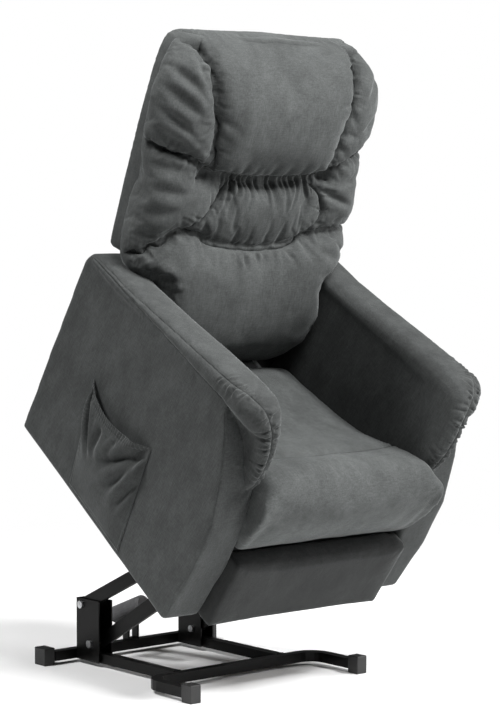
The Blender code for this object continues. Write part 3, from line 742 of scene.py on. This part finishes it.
# ---- back ----
# Rows up the back: v, then (x, w) points of the pillows' front from the centre to the edge.
BACK_ROWS = [
    (-.085, [(0, .1), (.12, .1), (.18, .097), (.215, .088), (.232, .07), (.235, .05)]),
    (-.05, [(0, .145), (.12, .145), (.19, .142), (.228, .128), (.247, .095), (.245, .055)]),
    (.0, [(0, .176), (.12, .178), (.2, .18), (.242, .17), (.264, .13), (.2545, .06)]),
    (.07, [(0, .187), (.12, .19), (.21, .196), (.252, .19), (.267, .155), (.2545, .06)]),
    (.15, [(0, .189), (.12, .192), (.22, .196), (.26, .186), (.268, .15), (.256, .06)]),
    (.2, [(0, .184), (.12, .187), (.24, .186), (.3, .168), (.334, .118), (.315, .06)]),
    (.235, [(0, .174), (.13, .176), (.25, .174), (.318, .154), (.35, .11), (.315, .06)]),
    (.28, [(0, .164), (.12, .163), (.2, .16), (.3, .148), (.352, .104), (.32, .06)]),
    (.35, [(0, .16), (.13, .16), (.22, .164), (.3, .154), (.346, .106), (.32, .06)]),
    (.405, [(0, .148), (.13, .15), (.2, .16), (.285, .156), (.34, .105), (.31, .06)]),
    (.44, [(0, .172), (.12, .173), (.195, .168), (.278, .153), (.338, .103), (.31, .06)]),
    (.47, [(0, .186), (.12, .187), (.2, .178), (.28, .154), (.342, .102), (.315, .055)]),
    (.54, [(0, .191), (.12, .191), (.2, .184), (.282, .16), (.352, .1), (.312, .055)]),
    (.617, [(0, .188), (.13, .189), (.21, .181), (.29, .159), (.355, .095), (.305, .05)]),
    (.662, [(0, .176), (.13, .176), (.215, .168), (.29, .145), (.345, .088), (.3, .045)]),
    (.7, [(0, .153), (.14, .152), (.225, .146), (.285, .125), (.326, .078), (.295, .04)]),
    (.735, [(0, .114), (.15, .113), (.233, .106), (.268, .088), (.298, .062), (.284, .04)]),
    (.757, [(0, .072), (.15, .072), (.226, .07), (.245, .062), (.262, .048), (.262, .035)])]
ROW_V = np.array([r[0] for r in BACK_ROWS])
ROW_XW = np.array([r[1] for r in BACK_ROWS])


def back_row(v):
    """Cross-section points (x, w) of the pillows' front at height v, centre to edge."""
    flat = ROW_XW.reshape(len(ROW_V), -1)
    return np.array([np.interp(v, ROW_V, flat[:, k]) for k in range(flat.shape[1])]).reshape(-1, 2)


def front_w(x, v):
    """How far the pillows' front stands before the back's rear face."""
    out = []
    for xi, vi in np.broadcast(x, v):
        line = spline(back_row(vi), 60)
        top = int(np.argmax(line[:, 0])) + 1
        out.append(np.interp(abs(xi), line[:top, 0], line[:top, 1]))
    return np.array(out)


def back_line(points):
    """A line of (x, v) points laid on the pillows' front."""
    p = np.asarray(points, float)
    return on_back(p[:, 0], p[:, 1], front_w(p[:, 0], p[:, 1]))


# Seams of the back as (x, v) points.
HEAD_SIDE = [(.262, .757), (.24, .73), (.227, .7), (.22, .656), (.213, .605), (.201, .54), (.197, .487),
             (.186, .437)]
HEAD_BOTTOM = [(-.196, .44), (-.186, .436), (-.095, .42), (0, .412), (.095, .42), (.186, .436),
               (.196, .44)]
WING_LOW = [(.352, .5), (.309, .493), (.257, .48), (.211, .457), (.186, .436)]
PLEAT_L = [(-.115, .414), (-.143, .366), (-.174, .322), (-.215, .293)]
PLEAT_R = [(.15, .42), (.182, .405), (.199, .374), (.208, .339), (.19, .3), (.169, .284)]
LUMBAR = [(-.352, .222), (-.319, .25), (-.262, .278), (-.215, .293), (-.114, .275), (0, .262), (.097, .268),
          (.169, .284), (.245, .292), (.323, .296), (.35, .297)]
# Free folds: (x, v) points, depth, half width.
BACK_FOLDS = [
    ([(-.335, .7), (-.29, .665), (-.245, .625)], .006, .011),
    ([(-.355, .655), (-.3, .62), (-.235, .575)], .006, .012),
    ([(-.36, .6), (-.31, .575), (-.25, .53)], .005, .01),
    ([(-.365, .555), (-.31, .525), (-.24, .49)], .006, .012),
    ([(-.25, .735), (-.262, .7), (-.255, .66)], .005, .01),
    ([(-.35, .46), (-.3, .452), (-.23, .452)], .005, .012),
    ([(-.34, .4), (-.27, .395), (-.21, .4)], .004, .012),
    ([(-.345, .34), (-.29, .345), (-.24, .36)], .004, .013),
    ([(-.32, .2), (-.27, .185), (-.21, .18)], .005, .012),
    ([(-.3, .165), (-.26, .155), (-.2, .16)], .004, .012),
    ([(-.02, .255), (-.015, .235), (-.02, .205)], .005, .007),
    ([(.02, .255), (.017, .24), (.02, .22)], .004, .006),
    ([(.1, .262), (.125, .245), (.14, .225)], .003, .007),
    ([(.345, .6), (.3, .585), (.25, .55)], .005, .012),
    ([(.35, .54), (.3, .52), (.24, .49)], .005, .012),
    ([(.335, .69), (.29, .66), (.245, .63)], .005, .011),
    ([(.153, .422), (.23, .39), (.319, .355)], .006, .009),
    ([(.33, .44), (.28, .43), (.22, .43)], .004, .011),
    ([(.335, .33), (.28, .33), (.225, .325)], .004, .012),
    ([(.31, .22), (.26, .235), (.2, .25)], .004, .011),
    ([(.29, .17), (.25, .18), (.2, .2)], .003, .012)]


def mirrored(points):
    return [(-x, v) for x, v in points]


def build_pillows():
    """The head pillow, wings, band and lower cushion as one skin, its seams already drawn in."""
    rings = []
    for v in np.concatenate([[-.092], np.arange(-.085, .757, .008), [.757, .763]]):
        half = spline(back_row(v), 40)
        if v < -.085 or v > .757:
            half = half * [.97, .6]
        full = np.vstack([half[::-1] * [-1, 1], half[1:]])
        edge = half[-1]
        ring = np.vstack([full, [(edge[0] - .02, .03), (-edge[0] + .02, .03)]])
        rings.append(on_back(ring[:, 0], v, ring[:, 1]))
    pillows = remesh(loft("back_pillows", rings, BACK_CLOTH_PAINTED_LIGHT), .006)
    relax(pillows.data, 5)
    lines = {
        "head_l": Seam(back_line(HEAD_SIDE)), "head_r": Seam(back_line(mirrored(HEAD_SIDE))),
        "head_b": Seam(back_line(HEAD_BOTTOM)),
        "wing_l": Seam(back_line(WING_LOW)), "wing_r": Seam(back_line(mirrored(WING_LOW))),
        "pleat_l": Seam(back_line(PLEAT_L)), "pleat_r": Seam(back_line(PLEAT_R)),
        "lumbar": Seam(back_line(LUMBAR))}
    deep = {"head_l": (.022, .045), "head_r": (.022, .045), "head_b": (.036, .048), "wing_l": (.02, .042),
            "wing_r": (.02, .042), "pleat_l": (.01, .028), "pleat_r": (.01, .028), "lumbar": (.024, .05)}
    for key, (depth, reach) in deep.items():
        sew(pillows.data, lines[key], depth, reach, line_depth=0, open_ends=key == "head_b")
    relax(pillows.data, 1)
    tree = surface(pillows.data)
    for seam in lines.values():
        seam.drop_onto(tree)
    return pillows, lines


SHELL_FRONT = .055  # the pillows are held up to here before the rear face
PIN_REACH = .012  # how far from a seam the cloth is held


def pillow_pins(pillows, lines):
    """How firmly the simulation holds each point: fully at the seams and where the shell is behind."""
    co = coords(pillows.data)
    yz = co[:, 1:] - BACK_FOOT
    w = yz @ LEAN_OUT
    pins = np.where(w < SHELL_FRONT, 1.0, 0.0)
    for key, seam in lines.items():
        idx, d = seam.near(co, PIN_REACH)[:2]
        hold = .8 if key.startswith("pleat") else 1.0
        pins[idx] = np.maximum(pins[idx], hold * smoothstep((PIN_REACH - d) / .006))
    return pins


def calm(mesh, rounds=22):
    """Smooths the broad middle of the head panel and the lower cushion, well away from the seams."""
    co = coords(mesh)
    yz = co[:, 1:] - BACK_FOOT
    v, w = yz @ LEAN_UP, yz @ LEAN_OUT
    head = smoothstep((.2 - np.abs(co[:, 0])) / .05) * smoothstep((v - .46) / .05)
    low = smoothstep((.23 - np.abs(co[:, 0])) / .06) * smoothstep((.235 - v) / .05)
    weight = np.maximum(head, low) * smoothstep((w - .06) / .03)
    relax(mesh, rounds, .5, weight)


SEAM_CUT = {"head_b": (.034, .034), "lumbar": (.012, .02), "pleat_l": (.008, .014), "pleat_r": (.008, .014)}
PLAIN_CUT = (.013, .022)  # depth and reach of the back's other seams
BACK_GATHERS = [  # seam, seed, (spacing, depth, half width, reach), lean
    ("head_l", 53, (.034, .0035, .007, .06), .8), ("head_r", 54, (.034, .0035, .007, .06), .8),
    ("wing_l", 55, (.028, .0035, .006, .055), .7), ("wing_r", 56, (.028, .0035, .006, .055), .7),
    ("pleat_l", 57, (.022, .003, .005, .05), .9), ("pleat_r", 58, (.022, .003, .005, .05), .9),
    ("lumbar", 59, (.045, .0024, .007, .05), .4)]


def finish_pillows(pillows, lines):
    """Sews the seams, gathers and folds into the swollen pillows."""
    calm(pillows.data)
    subdivide(pillows)
    mesh = pillows.data
    tree = surface(mesh)
    for seam in lines.values():
        seam.drop_onto(tree)
    refine(pillows, lines.values(), .014)
    for key, seam in lines.items():
        depth, reach = SEAM_CUT.get(key, PLAIN_CUT)
        sew(mesh, seam, depth, reach, line=.0022, line_depth=.0055)
    pucker(mesh, lines["head_b"], 51, every=.017, depth=.0085, width=.0046, reach=.095, sides=(1,),
           lean=.25, part=(.16, .88))
    pucker(mesh, lines["head_b"], 52, every=.04, depth=.0012, width=.006, reach=.05, sides=(-1,), lean=.5)
    for key, seed, sizes, lean in BACK_GATHERS:
        pucker(mesh, lines[key], seed, *sizes, lean=lean)
    for line, depth, width in BACK_FOLDS:
        crease(mesh, tree, back_line(line), depth, width)
    ripple(mesh, 60, .0014, .06)
    settle(pillows, "backrest", .7, "lumbar_cushion", "back_cushion", "head_cushion", "wing_l", "wing_r")


SHELL_OUTLINE = [(.2545, -.09), (.2545, .19), (.262, .2), (.304, .205), (.314, .215), (.312, .45),
                 (.305, .6), (.298, .68), (.291, .722), (.28, .744), (.258, .755), (0, .76)]


SHELL_DEPTH = .0815  # thickness of the rear cover
SHELL_ROUND = .011  # radius of its edges


def build_shell():
    """The firm rear cover with its side bands."""
    half = []
    pts = SHELL_OUTLINE
    for a, b in zip(pts[:-1], pts[1:]):
        n = max(1, int(math.dist(a, b) / .015))
        half += [(a[0] + (b[0] - a[0]) * k / n, a[1] + (b[1] - a[1]) * k / n) for k in range(n)]
    half.append(pts[-1])
    full = np.array(half + [(-x, v) for x, v in half[-2::-1]])
    step = inward(full)
    rings = []
    r = SHELL_ROUND
    for a in np.linspace(0, math.pi / 2, 6):
        q = full + step * r * (1 - math.sin(a))
        rings.append(on_back(q[:, 0], q[:, 1], .0005 + r * (1 - math.cos(a))))
    for a in np.linspace(math.pi / 2, 0, 6):
        q = full + step * r * (1 - math.sin(a))
        rings.append(on_back(q[:, 0], q[:, 1], SHELL_DEPTH - r * (1 - math.cos(a))))
    shell = remesh(loft("back_cover", rings, BACK_CLOTH_PAINTED_LIGHT), .0065)
    relax(shell.data, 3)
    edge = [(.2545, -.08), (.2545, .19), (.312, .215), (.311, .45), (.304, .6), (.296, .68), (.284, .736),
            (.255, .753), (0, .757)]
    line = edge + [(-x, v) for x, v in edge[-2::-1]]
    rear = Seam([tuple(p) for p in on_back([q[0] for q in line], [q[1] for q in line], .004)])
    rear.drop_onto(surface(shell.data))
    refine(shell, [rear], .01)
    sew(shell.data, rear, .003, .009, line_depth=.0012)
    pucker(shell.data, rear, 71, every=.06, depth=.0012, width=.007, reach=.03, lean=.6)
    ripple(shell.data, 72, .0012, .12)
    settle(shell, "backrest", .9, "back_shell")


# ---- seat ----
SEAT_TOP = [(.2, .286), (.131, .306), (.006, .329), (-.078, .342), (-.154, .361), (-.223, .386),
            (-.29, .411), (-.345, .424), (-.38, .411), (-.396, .384), (-.4, .35), (-.393, .31),
            (-.379, .262), (-.364, .224), (-.345, .209)]
SEAT_HALF = .2665
FRONT_END = .012  # how far in from each end the front roll begins to round off
ROLL_WIDEN = .026  # how far the front roll's ends spread before the columns
SEAT_SEAM = [(-.262, -.215, .372), (-.225, -.238, .388), (-.15, -.252, .398), (-.05, -.258, .402),
             (.05, -.258, .402), (.15, -.252, .398), (.225, -.238, .388), (.262, -.215, .372)]


END_ROUND, END_INSET = .022, .018  # how the seat's ends round off, across and inwards


def seat_ring(x):
    """The seat's profile at x: its top falls away beside the arms, more towards the rear."""
    half = SEAT_HALF
    top = spline(SEAT_TOP, 60)
    y, z = top[:, 0].copy(), top[:, 1].copy()
    upper = smoothstep((z - .25) / .1) * smoothstep((y + .415) / .05)
    flat = np.interp(y, [-.33, -.15, .13], [.232, .205, .165])
    reach = half - flat
    u = np.clip((abs(x) - flat) / reach, 0, 1)
    deep = np.interp(y, [-.38, -.28, .1], [.006, .02, .048])
    z = z - deep * u ** 2.2 * upper + .004 * (1 - (x / half) ** 2) * upper
    round_off = np.clip((abs(x) - (half - END_ROUND)) / END_ROUND, 0, 1)
    inset = END_INSET * (1 - math.sqrt(max(0, 1 - round_off ** 2)))
    dy, dz = np.gradient(y), np.gradient(z)
    norm = np.hypot(dy, dz) + 1e-9
    y, z = y + (dz / norm) * inset, z + (dy / norm) * inset
    ring = np.column_stack([y, z])
    return np.vstack([ring, [(.16, .209), (.2, .235)]])


def build_seat():
    ends = np.array([.2635, .2655, SEAT_HALF])
    rings = []
    for x in np.concatenate([-ends[::-1], np.linspace(-.26, .26, 60), ends]):
        ring = seat_ring(x)
        end = min(1, max(0, abs(x) - SEAT_HALF + FRONT_END) / FRONT_END)
        ring[:, 0] += FRONT_END * (1 - math.sqrt(1 - end ** 2)) * smoothstep((-.335 - ring[:, 0]) / .05)
        out = ROLL_WIDEN * min(1, max(0, abs(x) - .215) / (SEAT_HALF - .215)) ** 1.2 * math.copysign(1, x)
        before = smoothstep((-.358 - ring[:, 0]) / .018) * smoothstep((.414 - ring[:, 1]) / .03)
        taper = np.interp(ring[:, 1], [.21, .3, .39], [.3, .72, 1.0])
        rings.append(np.column_stack([x + out * before * taper, ring]))
    seat = remesh(loft("seat_cushion_cover", rings, SEAT_CLOTH_PAINTED_LIGHT), .006)
    relax(seat.data, 3)
    top = Seam([(x, y, z) for x, y, z in SEAT_SEAM])
    top.drop_onto(surface(seat.data))
    return seat, top


def seat_pins(seat, top):
    """The seat is held at its foot, its rear, its sides and the seam across its top."""
    co = coords(seat.data)
    pins = np.where((co[:, 2] < .214) | (co[:, 1] > .18), 1.0, 0.0)
    pins = np.maximum(pins, smoothstep((np.abs(co[:, 0]) - .255) / .006))
    pins[top.near(co, .01)[0]] = 1.0
    return pins


def finish_seat(seat, top):
    """Sews the seam across the top of the front roll."""
    relax(seat.data, 5)
    subdivide(seat)
    tree = surface(seat.data)
    top.drop_onto(tree)
    refine(seat, [top], .012)
    sew(seat.data, top, .005, .013, line=.0016, line_depth=.0026)
    pucker(seat.data, top, 81, every=.045, depth=.001, width=.006, reach=.025, lean=.6)
    ripple(seat.data, 82, .0013, .07)
    settle(seat, "chair", .8, "seat_cushion")


def build_footrest():
    """The upholstered panel that closes the front below the seat."""
    profile = [(-.34, .0015), (-.38, .001), (-.3895, .0035), (-.393, .011), (-.3938, .1),
               (-.393, .186), (-.3895, .1935), (-.38, .197), (-.34, .197)]
    pad = rounded_prism("footrest_cover", dense(profile), -.2695, .2695, .004, .004, material=FOOTREST_CLOTH_PAINTED_SHADE)
    remesh(pad, .005)
    relax(pad.data, 1)
    return pad


def lining(name, profile, edge):
    """A thin black cloth across the chair between the side panels."""
    cloth = rounded_prism(name, profile, -.262, .262, edge, edge, material=CAMBRIC)
    settle(cloth, "chair", None)
    return cloth


def build_linings():
    """Closes the gap between seat and footrest, and the space over the seat rails behind the seat."""
    front = lining("front_lining", [(-.3345, .17), (-.3345, .2075), (-.3315, .2075), (-.3315, .17)], .001)
    profile = [(.164, .1965), (.164, .1985), (.348, .1985), (.348, .1965)]
    rear = lining("rear_lining", dense(profile, .02), .0005)


def build_rear_panel():
    """The upholstered rail across the back, under the backrest."""
    profile = [(.3505, .166), (.3505, .234), (.36, .2345), (.3625, .228), (.3635, .2),
               (.3625, .172), (.36, .1655)]
    panel = rounded_prism("rear_panel_cover", dense(profile), -.2615, .2615, .003, .003, material=UPRIGHT)
    subdivide(panel)
    ripple(panel.data, 95, .0006, .06)
    settle(panel, "chair", .9, "rear_panel")


def footrest_pins(pad):
    """The cover is held on the board: behind and at both ends."""
    co = coords(pad.data)
    return np.where((co[:, 1] > -.362) | (np.abs(co[:, 0]) > .262), 1.0, 0.0)


def finish_footrest(pad):
    subdivide(pad)
    ripple(pad.data, 92, .001, .08)
    settle(pad, "footrest", .9, "footrest_pad", "footrest_board")


# ---- side pocket ----
# The patch's corners as (y, z): rear top, front top, front foot, rear foot.
POCKET = [(.183, .293), (-.084, .303), (-.13, .02), (.11, .022)]
PANEL_X = -.3808  # just off the side panel's face
POCKET_DEEPEST = .036  # the cloth stands at most this far out
POCKET_FOLDS = [  # from (a, b) to (a, b), depth, half width
    (1.0, .02, .3, .6, .023, .056), (.96, .12, .55, .74, .0145, .046), (.05, .02, .27, .62, .018, .046),
    (.4, .12, .33, .55, .0105, .038), (.66, .1, .52, .36, .0105, .03), (1.0, .28, .75, .8, .008, .038)]


def fold_depth(a, b, a0, b0, a1, b1, depth, width):
    """One fold's depth, a running from the rear side to the front and b from the mouth to the foot."""
    d = np.array([a1 - a0, b1 - b0])
    q = np.stack([a - a0, b - b0], -1)
    t = np.clip((q @ d) / (d @ d), 0, 1)
    off = np.linalg.norm(q - t[..., None] * d, axis=-1)
    env = smoothstep(t / .2 + .15) * smoothstep((1 - t) / .55)
    return depth * env * (np.exp(-(off / width) ** 2) - .7 * np.exp(-((off - 1.9 * width) / width) ** 2))


def build_pocket():
    """A patch pocket: sewn down at the sides and foot, its mouth gathered on elastic and sagging open."""
    na, nb = 150, 140
    a, b = np.meshgrid(np.linspace(0, 1, na), np.linspace(0, 1, nb) ** 1.25)
    rt, ft, ff, rf = (np.array(c) for c in POCKET)
    top = rt + (ft - rt) * a[..., None]
    foot = rf + (ff - rf) * a[..., None]
    yz = top + (foot - top) * b[..., None]
    arch = np.sin(np.pi * a)
    yz[..., 1] -= .03 * arch ** .9 * (1.15 - .3 * a) * (1 - b) ** 2.0
    mouth = .021 * arch ** .8 * (1.1 - .35 * a) * (1 - b) ** 1.1
    belly = .02 * arch ** .7 * np.sin(np.pi * b ** .8) ** .8
    out = mouth + belly
    for fold in POCKET_FOLDS:
        out -= fold_depth(a, b, *fold)
    rng = np.random.default_rng(7)
    phase = np.interp(a[0], np.linspace(0, 1, 34), np.cumsum(rng.uniform(.7, 1.3, 34)) * 2 * math.pi)
    ruche = np.sin(phase)[None, :] * np.exp(-((b - .035) / .05) ** 2)
    out += .0024 * ruche + .0022 * np.exp(-(b / .012) ** 2) - .0016 * np.exp(-((b - .062) / .01) ** 2)
    side = np.sin(b * 150 + 2 * np.sin(b * 23)) * np.exp(-((a - .045) / .035) ** 2)
    out += .0011 * side * smoothstep((.8 - b) / .3)
    edge = np.minimum(np.minimum(a, 1 - a) / .035, (1 - b) / .035)
    out = np.maximum(out, 0) * smoothstep(edge)
    near = np.minimum(np.minimum(a, 1 - a), 1 - b)
    out += .0009 * np.exp(-((near - .012) / .01) ** 2) - .0007 * np.exp(-((near - .03) / .005) ** 2)
    x = PANEL_X - .0008 - POCKET_DEEPEST * np.tanh(np.maximum(out, 0) / POCKET_DEEPEST)
    verts = np.stack([x, yz[..., 0], yz[..., 1]], -1).reshape(-1, 3)
    faces = [(j * na + i, j * na + i + 1, (j + 1) * na + i + 1, (j + 1) * na + i)
             for j in range(nb - 1) for i in range(na - 1)]
    pocket = new_object("side_pocket_cloth", verts, faces, UPRIGHT)
    with_modifier(pocket, "SOLIDIFY", thickness=.0016, offset=0.0)
    settle(pocket, "chair", None, "side_pocket")


# ---- hard parts ----
def hard(name, dark, light, rough, metallic=0.0, scale=900, spec=.5):
    """A hard finish: a fine grain and broad, faint wear."""
    mat, nodes, links, shader = material(name, rough, metallic, spec=spec)
    fine = noise(nodes, links, mapped(nodes, links), scale, 2)
    wear = noise(nodes, links, mapped(nodes, links), 24, 5, .65)
    colour = ramp(nodes, links, fine, dark, light, .3, .7)
    links.new(times(nodes, links, colour, wear, .8, 1.25), shader.inputs["Base Color"])
    links.new(bump(nodes, links, fine, .25, .0004), shader.inputs["Normal"])
    return mat


STEEL = hard("powder_coat", (.0018, .0018, .0018), (.0034, .0034, .0034), .34, spec=.16)
ZINC = hard("zinc_plated", (.42, .43, .44), (.62, .63, .64), .35, 1.0, 300)
PLASTIC = hard("moulded_plastic", (.009, .009, .009), (.015, .015, .015), .5, scale=1600)
MOTOR = hard("motor_paint", (.1, .1, .105), (.16, .16, .165), .5)
WOOD = hard("plywood", (.3, .21, .13), (.42, .31, .2), .7, scale=120)
LOOKS = {"upholstery": UPRIGHT, "wood": WOOD, "black_steel": STEEL, "zinc": ZINC, "black_plastic": PLASTIC,
         "motor_grey": MOTOR}


def bead(start, end, radius=.0021, drops=9):
    """A weld bead from start to end: round drops laid half over each other."""
    a, b = np.array(start), np.array(end)
    along = (b - a) / np.linalg.norm(b - a)
    side = np.cross(along, [0, 0, 1] if abs(along[2]) < .9 else [1, 0, 0])
    side /= np.linalg.norm(side)
    up = np.cross(side, along)
    rings, count = [], drops * 4
    for i in range(count + 1):
        t = i / count
        end_taper = min(1, 6 * t + .15, 6 * (1 - t) + .15)
        r = radius * end_taper * (.82 + .18 * abs(math.sin(math.pi * drops * t)))
        turn = np.linspace(0, 2 * math.pi, 10, endpoint=False)[:, None]
        rings.append(a + (b - a) * t + r * (np.cos(turn) * side + np.sin(turn) * up))
    return loft("bead", rings, STEEL, chair=False)


def build_weld_beads():
    """Welds where the side rails meet the front bow and the rear rail."""
    beads = []
    half, low, high = .0125, .012, .0352
    rails, joints = (-.165, .173), (.0372, .4321)  # the rails' x and the welds' y
    for x in rails:
        for y in joints:
            beads.append(bead((x - half, y, high), (x + half, y, high)))
            for edge in (x - half - .0003, x + half + .0003):
                beads.append(bead((edge, y, low), (edge, y, high)))
    welds = joined(beads, "weld_beads")
    welds.matrix_world = Matrix.Identity(4)
    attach(welds, "base")


def dress_nodes():
    """Gives every CAD node its slot's finish."""
    slots = {part["node"]: part["material_slot"] for part in frame["record"]["subparts"]}
    for name, obj in frame["nodes"].items():
        look = LOOKS[slots[name]]
        for i in range(max(1, len(obj.material_slots))):
            if len(obj.data.materials) > i:
                obj.data.materials[i] = look
            else:
                obj.data.materials.append(look)


build_camera()
build_world()
build_floor()
build_lights()
dress_nodes()
build_arm("l", "arm_l")
build_arm("r", "arm_r")
build_shell()
pillows, back_seams = build_pillows()
seat, seat_seam = build_seat()
footrest = build_footrest()
swell([
    {"obj": pillows, "pins": pillow_pins(pillows, back_seams), "grow": .032, "pressure": 4.0, "cap": .022},
    {"obj": seat, "pins": seat_pins(seat, seat_seam), "grow": .004, "pressure": 2.5, "cap": .008},
    {"obj": footrest, "pins": footrest_pins(footrest), "grow": .003, "pressure": 1.5, "cap": .004}])
finish_pillows(pillows, back_seams)
finish_seat(seat, seat_seam)
finish_footrest(footrest)
build_pocket()
build_linings()
build_rear_panel()
build_weld_beads()
